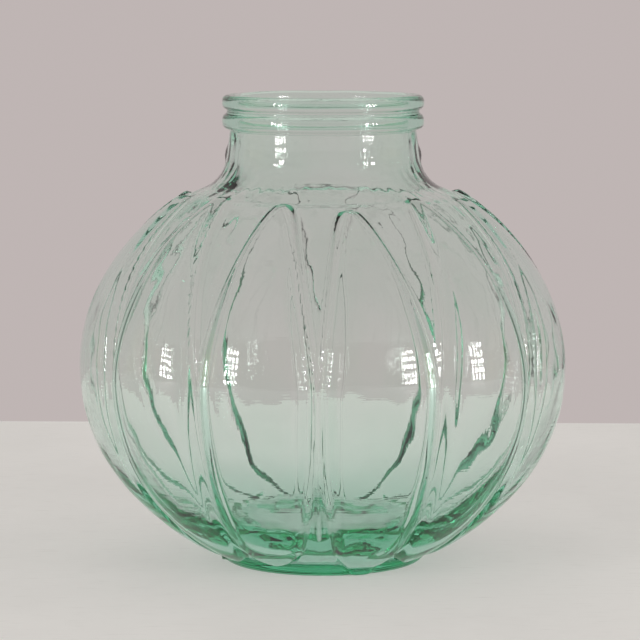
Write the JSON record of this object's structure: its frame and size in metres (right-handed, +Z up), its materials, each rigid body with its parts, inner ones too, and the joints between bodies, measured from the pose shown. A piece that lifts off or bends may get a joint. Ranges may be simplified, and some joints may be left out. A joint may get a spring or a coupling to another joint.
{
  "type": "glass carboy",
  "caption": "Round lobed glass carboy with a thick low foot, a smooth shoulder and a short wide open neck with two beads.",
  "frame": {"origin": "centre of the base, on the plane the carboy stands on", "axes": "+Z up along the axis of the body and neck; -Y, the front, and +X each lie on a groove between two lobes"},
  "size_m": [0.24, 0.24, 0.2325],
  "materials": {
    "glass": "clear pale aqua-green glass, fire-polished, emerald where it is thick"
  },
  "bodies": {
    "root": {"glass_vessel": "glass"}
  },
  "joints": []
}
